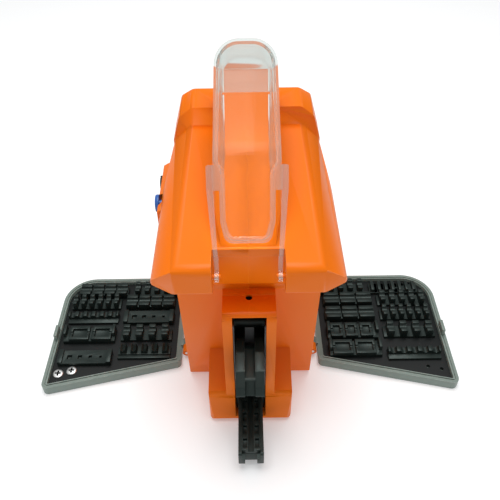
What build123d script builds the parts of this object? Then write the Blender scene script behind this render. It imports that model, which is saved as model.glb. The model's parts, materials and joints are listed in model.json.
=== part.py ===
"""Bench-top electric terminal crimper: a moulded two-half housing with a carry handle, tong-like
steel jaws in the nose, a clear flip-up guard and two fold-down doors that store the die strips.

Millimetres, +Z up, the front faces -Y, and the origin is at the centre of the footprint.
Every node is one piece, or one set of like pieces, in parts/NODE.step.
"""
import os
from math import atan2, cos, degrees, pi, radians, sin

from build123d import *

# ---- driving dimensions -------------------------------------------------------------------------
WALL = 3.0                # housing wall
SKIN_GAP = 0.3            # clearance between bodies that move past each other
FIT = 0.05                # radial running clearance of pins

BASE_Z = 3.0              # underside of the housing, which the feet hold up
BODY_HALF = 62.0          # half-width of the upper body
CORE_HALF = BODY_HALF - 10.5    # half-width of the lower body, behind the doors
POCKET_HALF = CORE_HALF - 8.0    # half-width of the lower body where the stored dies reach in
FRONT_FOOT_Y = -26.0      # front face of the lower body at its foot
FRONT_TOP_Y = -39.0       # front face of the lower body under the visor
REAR_Y = 112.0            # back of the housing
COLLAR_REAR_Y = 105.0     # rear edge of the collar's top
DECK_Z = 186.0            # top deck
SIDE_TOP_Z = DECK_Z - 19.0    # where the side walls turn in to the shoulders
TAPER = 5.2               # how much narrower each side is at the rear
TAPER_FRONT_Y = 14.0      # where the taper starts
DECK_HALF = BODY_HALF - 17.5    # half-width of the deck
VISOR_Y = -81.0           # front face of the visor
VISOR_HALF = BODY_HALF - 16.5    # half-width of the visor's front face
VISOR_SIDE_Y = -71.0      # where the visor's corner chamfers reach the side walls
VISOR_LIP = 3.0           # height of the side walls at the visor's corners
VISOR_ROOT_Z = 122.0      # where the lower body's sloping front ends, under the visor

COLLAR_Y = 76.0           # front face of the raised collar at the rear
COLLAR_TOP_Z = DECK_Z + 15.5
COLLAR_HALF = BODY_HALF - 20.0
COLLAR_STEP = 1.5         # how far the collar stands out of the side walls
COLLAR_FOOT_Z = DECK_Z - 44.0
HANDLE_HALF = 22.0        # half-width of the carry handle
HANDLE_BAR = 25.0         # depth of the handle's bar
HANDLE_FOOT_Y = -62.0     # front of the handle on the deck
HANDLE_FOOT_HALF = 17.2   # half-width of the handle at its front foot
HANDLE_SUNK = 20.0        # how far the handle reaches into the body
HANDLE_ROUND = 8.0        # rounding of the handle's rims
GRIP_ROUND = 6.0
BEND_Y = -15.0            # bend between the handle's front post and its bar
BEND_Z = DECK_Z + 42.0
HANDLE_REAR_Y = 64.0      # rear end of the handle's bar
HANDLE_REAR_Z = DECK_Z + 58.5
GRIP_FRONT_Y = -14.0      # finger opening at the deck
GRIP_REAR_Y = 66.0

NOTCH_HALF = 22.5         # notch in the visor, which holds the guard's hinge
NOTCH_Y = -63.5           # back of the notch at the deck

NOSE_FOOT_Y = -70.0
NOSE_TOP_Y = -65.0
NOSE_TOP_Z = 123.5
SLOT_LOW_Z = 7.0
SLOT_TOP_Z = 120.5
CHEEK_HALF = 32.7         # low block at the foot of the nose
CHEEK_FRONT_Z = 34.5
CHEEK_REAR_Z = 44.0
CHEEK_TOE = 3.0           # how far the block's foot stands out in front of the nose

PIVOT_Y = -39.0           # jaw pivot
PIVOT_Z = 32.0
PIVOT_R = 5.0
JAW_OPEN = 42.0           # opening angle of the upper jaw, degrees
JAW_HALF = 10.0           # half-width over both upper jaw plates
JAW_GAP = 3.7             # half of the gap between the plates
JAW_TIP_Y = -112.0        # tip of the upper jaw when it is closed
BITE_Z = 25.0             # underside of the closed upper jaw
LOWER_HALF = JAW_HALF - 0.5
LOWER_TIP_Y = -114.0
LOWER_FLOOR_Z = 18.0      # die seat of the lower jaw
LOWER_TOP_Z = 24.0        # top of the lower jaw's rails
FRAME_X = JAW_HALF + 1.3  # inner face of the steel frame plates
FRAME_T = 3.5
SLOT_HALF = FRAME_X + 0.7 # slot in the nose that the jaws work in
NOSE_HALF = SLOT_HALF + 6.8

GEAR_MODULE = 2.0
SECTOR_TEETH = 58         # teeth of the full circle that the sector is cut from
PINION_TEETH = 14
MESH_ANGLE = 30.0         # direction from the pivot to the pinion
MESH_SLACK = 0.25         # extra centre distance
SHAFT_R = 5.0
BEARING_R = 9.0
SPACED_TIES = [(-40.0, 88.0), (-4.0, 89.0)]     # Y and Z of the frame bolts with spacer tubes
JAW_TIE = (-12.0, 12.2)   # bolt through the root of the lower jaw
TIE_R = 2.5
REAR_RIVET = (-24.5, 33.0)        # in the open position
FRONT_RIVETS = [(-86.0, 45.0), (-72.0, 50.0)]   # in the closed position
RIVET_R = 2.5
NEST_FIRST = 10.0         # first nest of the lower die, from the jaw's tip
NEST_PITCH = 11.0
DIE_HALF = 7.0            # half-width of the lower die's seat

GUARD_Y = -74.0           # guard hinge
GUARD_Z = DECK_Z - 13.0
GUARD_ANGLE = 60.0        # rest direction of the raised guard
GUARD_LENGTH = 135.0
GUARD_WALL = 1.8
GUARD_DEPTH = 19.0
GUARD_PIN_R = 1.5
GUARD_LUG_X = 18.2        # inner face of the hinge lugs
GUARD_LUG_T = 2.6
GUARD_NEAR_L = 24.0       # rounded near end of the tub, from the hinge
GUARD_STEP_L = 70.0       # where the tub widens
GUARD_RIM = 3.2           # width of the rim, the wall included
GUARD_EAR_X = 24.4        # outer edge of the ears
GUARD_LEG = 3.8           # width of the legs

HINGE_X = CORE_HALF + 4.0    # door hinge axis
HINGE_Z = 7.0
HINGE_PIN_R = 1.5
KNUCKLE_R = 3.6
KNUCKLE_LONG = 8.0
KNUCKLES_Y = [-9.0, 56.0]         # front ends of the housing's hinge knuckles
DOOR_KNUCKLES_Y = [y + KNUCKLE_LONG + SKIN_GAP for y in KNUCKLES_Y]
DOOR_NEAR_X = HINGE_X + 4.8    # edge of the open door beside its hinge
DOOR_LONG = 115.7         # the open door, from its hinge edge to its outer edge
DOOR_FAR_X = DOOR_NEAR_X + DOOR_LONG
DOOR_LOW_Z = 0.5
DOOR_FLOOR_Z = 2.5        # top of the tray's floor
DOOR_RIM_Z = 9.3
DOOR_PLATE_Z = 6.0        # top of the die plate
DOOR_BACK_Y = 80.0
DOOR_NEAR_Y = -19.0       # front edge of the open door at its hinge
DOOR_SLANT_Y = -46.0      # front edge of the open door at its outer edge
RIM_T = 4.5
TAB_Y = 5.0               # latch tab on the outer rim
TAB_LONG = 12.0
DOOR_SCREWS = [(DOOR_FAR_X - 22.0, -25.5), (DOOR_FAR_X - 11.0, -28.4)]
DOOR_SCREW_R = 1.7
DIE_GAP = 5.0             # between the two columns of stored dies
DIE_NEAR_X = DOOR_NEAR_X + 9.7
DIE_LONG = (DOOR_FAR_X - RIM_T - 4.5 - DIE_NEAR_X - DIE_GAP) / 2     # length of a stored die strip
DIE_X = [DIE_NEAR_X, DIE_NEAR_X + DIE_LONG + DIE_GAP]
DIE_ROWS = [63.5, 48.5, 31.0, 11.0, -8.0]
REAR_ROW_SHIFT = 5.0      # the rear row lies nearer the hinge, inside the tray's round corner
NEAR_OUTER_Y = -13.5      # the front row's outer die lies nearer the slanted edge
POCKET_CLEAR = 1.0        # room below the stored dies when the door is closed
DIE_TOP_Z = 16.6          # highest point of the stored dies on the open door

MOTOR_R = 17.5
MOTOR_LONG = 54.0
GEARBOX_X = POCKET_HALF - WALL - 1.0    # outer face of the gearbox
DOOR_TOP_Z = HINGE_Z + DOOR_FAR_X - HINGE_X + 2 * SKIN_GAP    # ledge above the closed doors
BOSSES = [(-14.0, DOOR_TOP_Z + 11.9), (20.0, DOOR_TOP_Z + 5.9), (92.0, 16.0), (92.0, DECK_Z - 10.0),
          (96.0, 100.0)]
BOSS_R = 4.2
SCREW_R = 2.0
SCREW_HALF = BODY_HALF - 12.0
NOSE_SCREW_R = 2.5
NOSE_SCREW_Y = -47.0

PLATE_T = 2.0             # steel base plate inside the housing
POD_X = -BODY_HALF - 2.5             # outer face of the control pod on the left side
POD_Y = (-2.0, 54.0)
POD_Z = (SIDE_TOP_Z - 27.0, SIDE_TOP_Z + 3.0)
BUTTON_AT = (12.0, SIDE_TOP_Z - 6.0)  # Y and Z of the button's axis
BUTTON_R = 6.5
BUTTON_TRAVEL = 2.0
DIAL_AT = (42.0, SIDE_TOP_Z - 11.0)
DIAL_R = 6.0
DIAL_PROUD = 2.0          # how far the dial stands out of the pod
STEM_R = 2.5              # stems of the button and the dial
PANEL_HALF = CORE_HALF - 8.5    # rear panel
PANEL_Z = (18.0, 64.0)
PANEL_T = 2.0
INLET = (-20.0, 36.0)     # X and Z of the power inlet
INLET_SIZE = (27.0, 20.0)
PEDAL = (24.0, 36.0)      # X and Z of the pedal socket
PEDAL_R = 8.0
ROCKER = (3.0, 50.0)      # X and Z of the power switch
ROCKER_SIZE = (13.0, 9.0)
ROCKER_TILT = 8.0
ROCKER_PIVOT = -2.7       # from the panel's face


# ---- plain shapes -------------------------------------------------------------------------------
def block(x0, x1, y0, y1, z0, z1):
    """Box between two corners."""
    size = (x1 - x0, y1 - y0, z1 - z0)
    return Pos((x0 + x1) / 2, (y0 + y1) / 2, (z0 + z1) / 2) * Box(*size)


def outline(points, radii=0):
    """Face in the XY plane through the points, with rounded corners; radii is one or one each."""
    face = Polygon(*points, align=None)
    each = radii if isinstance(radii, (list, tuple)) else [radii] * len(points)
    for radius in sorted(set(each)):
        if radius > 0:
            chosen = [p for p, r in zip(points, each) if r == radius]
            corners = [v for v in face.vertices()
                       if min((v.X - p[0]) ** 2 + (v.Y - p[1]) ** 2 for p in chosen) < 1e-6]
            face = fillet(corners, radius)
    return face


def prism_z(points, z0, z1, radii=0):
    """Outline in X and Y, carried from z0 to z1."""
    return extrude(Pos(0, 0, z0) * outline(points, radii), z1 - z0, dir=(0, 0, 1))


def prism_x(points, x0, x1, radii=0):
    """Outline in Y and Z, carried from x0 to x1."""
    plane = Plane(origin=(x0, 0, 0), x_dir=(0, 1, 0), z_dir=(1, 0, 0))
    return extrude(plane * outline(points, radii), x1 - x0, dir=(1, 0, 0))


def prism_y(points, y0, y1, radii=0):
    """Outline in X and Z, carried from y0 to y1."""
    plane = Plane(origin=(0, y0, 0), x_dir=(1, 0, 0), z_dir=(0, -1, 0))
    return extrude(plane * outline(points, radii), y1 - y0, dir=(0, 1, 0))


def rod_x(radius, x0, x1, y, z):
    return Pos((x0 + x1) / 2, y, z) * Rot(0, 90, 0) * Cylinder(radius, x1 - x0)


def rod_y(radius, y0, y1, x, z):
    return Pos(x, (y0 + y1) / 2, z) * Rot(90, 0, 0) * Cylinder(radius, y1 - y0)


def rod_z(radius, z0, z1, x, y):
    return Pos(x, y, (z0 + z1) / 2) * Cylinder(radius, z1 - z0)


def face_x(points, radii, x, inset):
    """Outline in Y and Z on the plane at x, drawn in by inset."""
    face = outline(points, radii)
    if abs(inset) > 1e-6:
        face = offset(face, -inset, kind=Kind.INTERSECTION)
    return Plane(origin=(x, 0, 0), x_dir=(0, 1, 0), z_dir=(1, 0, 0)) * face


def rounded_x(points, radii, half, radius, steps=4):
    """Outline carried from -half to half with both rims rounded; a negative radius flares them."""
    reach = abs(radius)
    body = extrude(face_x(points, radii, reach - half, 0), 2 * (half - reach), dir=(1, 0, 0))
    for side in (-1, 1):
        rings = []
        for step in range(steps + 1):
            turn = radians(90 * step / steps)
            x = side * (half - reach + reach * sin(turn))
            rings.append(face_x(points, radii, x, radius * (1 - cos(turn))))
        for low, high in zip(rings, rings[1:]):
            body = body + loft([low, high], ruled=True)
    return body


def both(half):
    """The same outline points on both sides of the middle, in order round the outline."""
    return half + [(-x, z) for x, z in reversed(half)]


def mirrored(shape):
    return mirror(shape, Plane.YZ)


def joined(shapes):
    """One shape from several that touch or overlap."""
    total = shapes[0]
    for shape in shapes[1:]:
        total = total + shape
    return total


def kept(shapes):
    """Several separate solids in one node."""
    solids = []
    for shape in shapes:
        solids.extend(shape.solids())
    return Compound(children=solids)


def save(name, shape):
    export_step(shape, f"parts/{name}.step")


# ---- housing ------------------------------------------------------------------------------------
def upper_body(inset):
    """Upper body with its visor, shoulders and tapering plan, drawn in by inset."""
    half = BODY_HALF - inset
    top = DECK_Z - inset
    section = both([(half, VISOR_ROOT_Z - 20), (half, SIDE_TOP_Z - inset * 0.5),
                    (DECK_HALF - inset * 0.5, top)])
    bar = prism_y(section, VISOR_Y + inset, REAR_Y - inset, [0, 9, 7, 7, 9, 0])
    rear = half - TAPER
    plan = [(VISOR_HALF - inset, VISOR_Y + inset), (half, VISOR_SIDE_Y + inset), (half, TAPER_FRONT_Y),
            (rear, COLLAR_Y), (rear, REAR_Y - 12), (rear - 10, REAR_Y - inset)]
    plan = plan + [(-x, y) for x, y in reversed(plan)]
    bar = bar & prism_z(plan, 90, 250, [3, 5, 60, 60, 6, 6, 6, 6, 60, 60, 5, 3])
    lip = SIDE_TOP_Z - VISOR_LIP + inset
    ledge = DOOR_TOP_Z + inset * 1.3
    side = [(VISOR_Y + inset, lip), (VISOR_SIDE_Y + 2 + inset, lip), (FRONT_TOP_Y + inset, ledge),
            (REAR_Y - inset, ledge), (REAR_Y - inset, top), (VISOR_Y + inset, top)]
    return bar & prism_x(side, -half, half, [2, 8, 0, 0, 9, 6])


def core(inset):
    """Lower body: narrow between the doors, full width behind them."""
    low = BASE_Z + inset
    high = VISOR_ROOT_Z + 30
    lean = [(FRONT_FOOT_Y + inset, low), (REAR_Y - inset, low), (REAR_Y - inset, high),
            (FRONT_TOP_Y + inset, high), (FRONT_TOP_Y + inset, VISOR_ROOT_Z)]
    middle = prism_x(lean, -(CORE_HALF - inset), CORE_HALF - inset)
    full = BODY_HALF - TAPER - inset
    back = DOOR_BACK_Y + SKIN_GAP * 2 + inset
    tail = [(full, back), (full, REAR_Y - 12), (full - 10, REAR_Y - inset)]
    tail = tail + [(-x, y) for x, y in reversed(tail)]
    return middle + prism_z(tail, low, high, [0, 6, 6, 6, 6, 0])


def die_pocket(side, extra):
    """Room in the side of the lower body for the dies of the closed door."""
    y1 = DOOR_BACK_Y - WALL + extra
    z0 = HINGE_Z + DIE_X[0] - REAR_ROW_SHIFT - HINGE_X - POCKET_CLEAR - extra
    z1 = DOOR_TOP_Z + extra
    profile = [(FRONT_FOOT_Y + WALL * 2 - extra, z0), (y1, z0), (y1, z1),
               (FRONT_TOP_Y + WALL * 2 - extra, z1)]
    x0, x1 = sorted((side * (POCKET_HALF - extra), side * (CORE_HALF + 5)))
    return prism_x(profile, x0, x1)


def collar(inset):
    """Raised saddle round the rear of the upper body."""
    side = BODY_HALF - TAPER + COLLAR_STEP - inset
    top = COLLAR_TOP_Z - inset
    section = both([(side, COLLAR_FOOT_Z + inset), (side, SIDE_TOP_Z + 4 - inset),
                    (COLLAR_HALF + 10 - inset, top - 8), (COLLAR_HALF - inset * 0.5, top)])
    bar = prism_y(section, COLLAR_Y + inset, REAR_Y + COLLAR_STEP - inset, [3, 8, 6, 6, 6, 6, 8, 3])
    rear = REAR_Y + COLLAR_STEP - inset
    plan = [(side, COLLAR_Y + inset), (side, REAR_Y - 12), (side - 10, rear)]
    plan = plan + [(-x, y) for x, y in reversed(plan)]
    bar = bar & prism_z(plan, 90, 250, [3, 6, 6, 6, 6, 3])
    slope = [(COLLAR_Y, 90), (rear + 1, 90), (rear + 1, DECK_Z - 4), (COLLAR_REAR_Y - inset, top),
             (COLLAR_Y, top)]
    return bar & prism_x(slope, -side, side)


def handle_profile(inset):
    """Side profile of the handle: sloping front post, long bar and a rear end down into the collar."""
    foot = HANDLE_FOOT_Y - HANDLE_SUNK * 0.28
    points = [(foot + inset, DECK_Z - HANDLE_SUNK), (HANDLE_FOOT_Y + inset, DECK_Z),
              (BEND_Y + inset * 0.4, BEND_Z - inset), (HANDLE_REAR_Y, HANDLE_REAR_Z - inset),
              (HANDLE_REAR_Y + 25 - inset, COLLAR_TOP_Z + 14), (COLLAR_REAR_Y - 5 - inset, COLLAR_TOP_Z - 6),
              (COLLAR_REAR_Y - 5 - inset, DECK_Z - HANDLE_SUNK)]
    return points, [0, 6, 18 - inset, 22 - inset, 16, 6, 0]


def grip_profile(inset, foot_z):
    """Side profile of the finger opening, open at its foot."""
    rise = (HANDLE_REAR_Z - BEND_Z) / (HANDLE_REAR_Y - BEND_Y)
    under = BEND_Z - HANDLE_BAR + 4 + inset
    points = [(GRIP_FRONT_Y - inset, foot_z), (GRIP_FRONT_Y + 8 - inset, under),
              (GRIP_REAR_Y + inset, under + rise * (GRIP_REAR_Y - GRIP_FRONT_Y - 8)),
              (GRIP_REAR_Y + inset, foot_z)]
    return points, [0, 9, 9, 0]


def handle():
    """Carry handle with rounded rims, narrowing to its front foot, and cut through for the fingers."""
    bar = rounded_x(*handle_profile(0), HANDLE_HALF, HANDLE_ROUND)
    front = HANDLE_FOOT_HALF
    plan = [(front, HANDLE_FOOT_Y - 8), (front, HANDLE_FOOT_Y + 3), (HANDLE_HALF, HANDLE_FOOT_Y + 28),
            (HANDLE_HALF, REAR_Y)]
    plan = plan + [(-x, y) for x, y in reversed(plan)]
    bar = bar & prism_z(plan, DECK_Z - HANDLE_SUNK, 260, [0, 4, 30, 0, 0, 30, 4, 0])
    grip = rounded_x(*grip_profile(0, DECK_Z - 12), HANDLE_HALF, -GRIP_ROUND)
    return bar - (grip & block(-60, 60, -100, 100, DECK_Z, 300))


def handle_hollow():
    """Room inside the handle."""
    points, radii = handle_profile(WALL)
    half = HANDLE_HALF - WALL * 1.3
    bar = prism_x(points, -half, half, radii)
    front = HANDLE_FOOT_HALF - WALL
    plan = [(front, HANDLE_FOOT_Y), (front, HANDLE_FOOT_Y + 3), (half, HANDLE_FOOT_Y + 32), (half, REAR_Y)]
    plan = plan + [(-x, y) for x, y in reversed(plan)]
    bar = bar & prism_z(plan, DECK_Z - HANDLE_SUNK, 260)
    points, radii = grip_profile(WALL, DECK_Z - WALL)
    return bar - prism_x(points, -60, 60, radii)


def nose(inset):
    profile = [(NOSE_FOOT_Y + inset, BASE_Z + inset), (0, BASE_Z + inset), (0, NOSE_TOP_Z - inset),
               (NOSE_TOP_Y + inset, NOSE_TOP_Z - inset)]
    bar = prism_x(profile, -NOSE_HALF + inset, NOSE_HALF - inset, [4, 0, 0, 8])
    plan = [(-NOSE_HALF + inset, NOSE_FOOT_Y), (NOSE_HALF - inset, NOSE_FOOT_Y),
            (NOSE_HALF - inset, 5), (-NOSE_HALF + inset, 5)]
    return bar & prism_z(plan, 0, 150, [2.5, 2.5, 0, 0])


def cheeks():
    """Low block round the foot of the nose."""
    toe = NOSE_FOOT_Y - CHEEK_TOE
    back = FRONT_FOOT_Y + 4
    profile = [(toe, BASE_Z), (back, BASE_Z), (back, CHEEK_REAR_Z), (NOSE_FOOT_Y + 0.5, CHEEK_FRONT_Z)]
    bar = prism_x(profile, -CHEEK_HALF, CHEEK_HALF, [3, 0, 0, 5])
    plan = [(-CHEEK_HALF, toe), (CHEEK_HALF, toe), (CHEEK_HALF, back), (-CHEEK_HALF, back)]
    return bar & prism_z(plan, 0, 80, [6, 6, 0, 0])


def notch(extra):
    """Opening in the visor's middle, scooped back towards the lower body."""
    profile = [(VISOR_Y - 5, DECK_Z + 30), (NOTCH_Y + extra, DECK_Z + 30), (NOTCH_Y + extra, DECK_Z - 6),
               (FRONT_TOP_Y - 6 + extra, NOSE_TOP_Z + extra), (FRONT_TOP_Y - 6 + extra, NOSE_TOP_Z - 0.5),
               (VISOR_Y - 5, NOSE_TOP_Z - 0.5)]
    return prism_x(profile, -NOTCH_HALF - extra, NOTCH_HALF + extra, [0, 0, 6, 0, 0, 0])


def hinge_knuckle(side, y0):
    """Knuckle on the lower body's sill that carries a door's hinge pin."""
    barrel = rod_y(KNUCKLE_R, y0, y0 + KNUCKLE_LONG, side * HINGE_X, HINGE_Z)
    x0, x1 = sorted((side * (CORE_HALF - 1), side * HINGE_X))
    web = block(x0, x1, y0, y0 + KNUCKLE_LONG, HINGE_Z - KNUCKLE_R, HINGE_Z + KNUCKLE_R)
    return barrel + web - rod_y(HINGE_PIN_R, y0 - 1, y0 + KNUCKLE_LONG + 1, side * HINGE_X, HINGE_Z)


def housing():
    outer = upper_body(0) + core(0) + collar(0) + nose(0) + cheeks() + handle()
    inner = upper_body(WALL) + core(WALL) + handle_hollow() + collar(WALL)
    room = FRAME_X + FRAME_T + 0.4
    tunnel = block(-room, room, NOSE_FOOT_Y + 11, 0, SLOT_LOW_Z, SLOT_TOP_Z)
    slot = block(-SLOT_HALF, SLOT_HALF, NOSE_FOOT_Y - CHEEK_TOE - 5, 0, SLOT_LOW_Z + 1, SLOT_TOP_Z)
    for side in (-1, 1):
        outer = outer - die_pocket(side, 0)
        inner = inner - die_pocket(side, WALL)
    inner = inner - notch(WALL)
    shell = outer - notch(0) - inner - tunnel - slot
    for y, z in BOSSES:
        boss = rod_x(BOSS_R, -BODY_HALF, BODY_HALF, y, z) & outer
        shell = shell + boss - rod_x(SCREW_R, -BODY_HALF - 5, BODY_HALF + 5, y, z)
    for side in (-1, 1):
        for y0 in KNUCKLES_Y:
            shell = shell + hinge_knuckle(side, y0)
        shell = shell - guard_pin(side)
    shell = shell - panel_plug(SKIN_GAP) - rod_z(NOSE_SCREW_R, NOSE_TOP_Z - 20, NOSE_TOP_Z + 5, 0, NOSE_SCREW_Y)
    for y, z in (BUTTON_AT, DIAL_AT):
        shell = shell - rod_x(STEM_R + FIT, -BODY_HALF - 5, -BODY_HALF + 15, y, z)
    return shell


# ---- steel frame and drive ----------------------------------------------------------------------
def polar(radius, angle, y=PIVOT_Y, z=PIVOT_Z):
    """Point in Y and Z at an angle in degrees above +Y, round the jaw pivot unless told."""
    return (y + radius * cos(radians(angle)), z + radius * sin(radians(angle)))


def pitch_radius(teeth):
    return GEAR_MODULE * teeth / 2


def pinion_centre():
    distance = pitch_radius(SECTOR_TEETH) + pitch_radius(PINION_TEETH) + MESH_SLACK
    return polar(distance, MESH_ANGLE)


def tooth_flank(teeth, pressure=25.0, backlash=0.15):
    """Radii and half-angles in degrees down one involute flank, from the tip to the root."""
    pitch = pitch_radius(teeth)
    base = pitch * cos(radians(pressure))
    tip = pitch + GEAR_MODULE * 0.95
    root = pitch - GEAR_MODULE * 1.25

    def involute(radius):
        tangent = (max(radius * radius / base / base, 1.0) - 1.0) ** 0.5
        return tangent - atan2(tangent, 1.0)

    middle = pi / teeth / 2 - backlash / 2 / pitch + involute(pitch)
    low = max(base, root)
    radii = [tip + (low - tip) * step / 5 for step in range(6)]
    flank = [(radius, degrees(middle - involute(radius))) for radius in radii]
    if root < low:
        flank.append((root, flank[-1][1]))
    return flank


def toothed_arc(teeth, count, first, y, z):
    """Outline points of count teeth, the first one centred at the angle first."""
    flank = tooth_flank(teeth)
    points = []
    for number in range(count):
        centre = first + number * 360.0 / teeth
        points += [polar(radius, centre - half, y, z) for radius, half in reversed(flank)]
        points += [polar(radius, centre + half, y, z) for radius, half in flank]
    return points


def sector_gear():
    """Toothed sector on the jaw's rear end; its hub turns on the pivot pin."""
    step = 360.0 / SECTOR_TEETH
    below = int((JAW_OPEN + 9.0) / step)
    above = 2
    first = MESH_ANGLE + step / 2 - below * step
    arc = toothed_arc(SECTOR_TEETH, below + above, first, PIVOT_Y, PIVOT_Z)
    root = pitch_radius(SECTOR_TEETH) - GEAR_MODULE * 1.25
    start = polar(root, first - step * 0.7)
    end = polar(root, first + (below + above - 0.3) * step)
    half = JAW_GAP - FIT
    fan = prism_x([(PIVOT_Y, PIVOT_Z), start] + arc + [end], -half, half)
    hub = rod_x(13, -half, half, PIVOT_Y, PIVOT_Z)
    middle = first + (below + above) * step / 2
    relief = [polar(25, middle - 12), polar(45, middle - 15), polar(45, middle + 15), polar(25, middle + 12)]
    body = fan + hub - prism_x(relief, -9, 9, 3)
    return body - rod_x(PIVOT_R + FIT, -9, 9, PIVOT_Y, PIVOT_Z) - rivet(REAR_RIVET, 9)


def pinion():
    y, z = pinion_centre()
    turned = MESH_ANGLE + 180.0
    wheel = prism_x(toothed_arc(PINION_TEETH, PINION_TEETH, turned, y, z), -4.5, 4.5)
    return wheel - rod_x(SHAFT_R, -9, 9, y, z)


def drive_shaft():
    y, z = pinion_centre()
    return rod_x(SHAFT_R, -FRAME_X - FRAME_T - 2, FRAME_X + FRAME_T + 20, y, z)


def frame_plate(side):
    """Steel plate on one side of the jaws, from the nose to the gearbox."""
    y, z = pinion_centre()
    foot = BASE_Z + WALL + PLATE_T
    profile = [(NOSE_FOOT_Y + 12, foot), (y + 16, foot), (y + 16, z + 14), (y - 12, z + 26),
               (NOSE_TOP_Y + 14, z + 26), (NOSE_FOOT_Y + 12, PIVOT_Z + 8)]
    x0, x1 = sorted((side * FRAME_X, side * (FRAME_X + FRAME_T)))
    plate = prism_x(profile, x0, x1, 5) - rod_x(PIVOT_R, -40, 40, PIVOT_Y, PIVOT_Z)
    plate = plate - rod_x(BEARING_R, -40, 40, y, z)
    for tie_y, tie_z in SPACED_TIES + [JAW_TIE]:
        plate = plate - rod_x(TIE_R, -40, 40, tie_y, tie_z)
    return plate


def rivet(centre, half):
    return rod_x(RIVET_R, -half, half, centre[0], centre[1])


def swung_open(shape):
    """A closed-jaw shape, turned up to the open position."""
    here = Pos(0, PIVOT_Y, PIVOT_Z)
    return here * Rot(-JAW_OPEN, 0, 0) * Pos(0, -PIVOT_Y, -PIVOT_Z) * shape


def jaw_plate(side):
    """One side plate of the upper jaw, drawn closed and swung open."""
    tip = JAW_TIP_Y
    profile = [(tip, BITE_Z), (PIVOT_Y - 13, BITE_Z), (PIVOT_Y - 7, PIVOT_Z - 13), (PIVOT_Y + 7, PIVOT_Z - 13),
               (PIVOT_Y + 17, PIVOT_Z - 4), (PIVOT_Y + 19, PIVOT_Z + 10), (PIVOT_Y + 8, PIVOT_Z + 27),
               (tip + 48, BITE_Z + 42), (tip + 22, BITE_Z + 38), (tip + 10, BITE_Z + 30),
               (tip + 2, BITE_Z + 18), (tip - 1, BITE_Z + 7)]
    x0, x1 = sorted((side * JAW_GAP, side * JAW_HALF))
    plate = prism_x(profile, x0, x1, [1.5, 4, 5, 5, 5, 6, 10, 12, 8, 6, 6, 3])
    for centre in FRONT_RIVETS:
        plate = plate - rivet(centre, 40)
    plate = swung_open(plate) - rivet(REAR_RIVET, 40)
    return plate - rod_x(PIVOT_R + FIT, -40, 40, PIVOT_Y, PIVOT_Z)


def upper_die():
    """Die between the upper jaw plates, with a row of crimping ribs along its lower edge."""
    tip = JAW_TIP_Y
    low = BITE_Z - 0.4
    profile = [(tip + 1.5, low + 1.2), (tip + 46, low + 1.2), (tip + 48, BITE_Z + 30), (tip + 20, BITE_Z + 32),
               (tip + 2, BITE_Z + 12)]
    half = JAW_GAP - FIT
    body = prism_x(profile, -half, half, [0, 0, 4, 6, 5])
    for row in range(4):
        y = LOWER_TIP_Y + NEST_FIRST + row * NEST_PITCH
        body = body + block(-half, half, y - 3, y + 3, low, low + 2)
    for centre in FRONT_RIVETS:
        body = body - rivet(centre, 40)
    return swung_open(body)


def jaw_rivets():
    heads = [swung_open(rivet(centre, JAW_HALF + 0.6)) for centre in FRONT_RIVETS]
    return kept(heads + [rivet(REAR_RIVET, JAW_HALF + 0.6)])


def lower_jaw():
    """Fixed lower jaw: a bar with side rails that hold the lower die."""
    floor = BASE_Z + WALL + PLATE_T + 0.5
    seat = NOSE_FOOT_Y + 8
    back = PIVOT_Y + 38
    under = PIVOT_Z - 16
    profile = [(LOWER_TIP_Y, floor + 2), (LOWER_TIP_Y + 3, floor), (back, floor), (back, under),
               (PIVOT_Y - 15, under), (PIVOT_Y - 15, LOWER_TOP_Z), (LOWER_TIP_Y, LOWER_TOP_Z)]
    bar = prism_x(profile, -LOWER_HALF, LOWER_HALF, [0, 0, 0, 0, 0, 2, 2])
    root = [(seat - 3, floor), (back, floor), (back, under), (PIVOT_Y - 15, under),
            (PIVOT_Y - 15, LOWER_TOP_Z), (seat - 3, LOWER_TOP_Z)]
    bar = bar + prism_x(root, -FRAME_X, FRAME_X)
    bar = bar - block(-DIE_HALF, DIE_HALF, LOWER_TIP_Y - 5, seat, LOWER_FLOOR_Z, 60)
    bar = bar - block(-4.5, 4.5, LOWER_TIP_Y - 5, LOWER_TIP_Y + 4, 0, 60)
    return bar - rod_x(TIE_R, -40, 40, JAW_TIE[0], JAW_TIE[1])


def lower_die():
    """Ladder-like lower die: two columns of nests beside a centre groove."""
    seat = NOSE_FOOT_Y + 8
    top = LOWER_TOP_Z - 0.5
    half = DIE_HALF - FIT
    body = block(-half, half, LOWER_TIP_Y + 4.2, seat - FIT, LOWER_FLOOR_Z, top)
    body = body - block(-2.1, 2.1, LOWER_TIP_Y, seat + 2, top - 3, top + 5)
    for row in range(4):
        y = LOWER_TIP_Y + NEST_FIRST + row * NEST_PITCH
        for side in (-1, 1):
            x0, x1 = sorted((side * 2.9, side * (half - 0.8)))
            body = body - block(x0, x1, y - 3.6, y + 3.6, top - 3.5, top + 5)
    return body


def gearbox():
    """Sealed worm gearbox on the right frame plate, with a bore for the drive shaft."""
    y, z = pinion_centre()
    x0 = FRAME_X + FRAME_T
    case = block(x0, GEARBOX_X, y - 18, y + 22, z - 18, z + 18)
    case = fillet(case.edges().filter_by(Axis.X), 4)
    return case - rod_x(SHAFT_R + FIT, 0, FRAME_X + FRAME_T + 20.2, y, z)


def motor():
    y, z = pinion_centre()
    x = GEARBOX_X - MOTOR_R
    can = rod_y(MOTOR_R, y + 22, y + 22 + MOTOR_LONG, x, z)
    return can + rod_y(6, y + 22 + MOTOR_LONG, y + 25 + MOTOR_LONG, x, z)


def ring_x(outer, inner, x0, x1, y, z):
    return rod_x(outer, x0, x1, y, z) - rod_x(inner, x0 - 1, x1 + 1, y, z)


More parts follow.
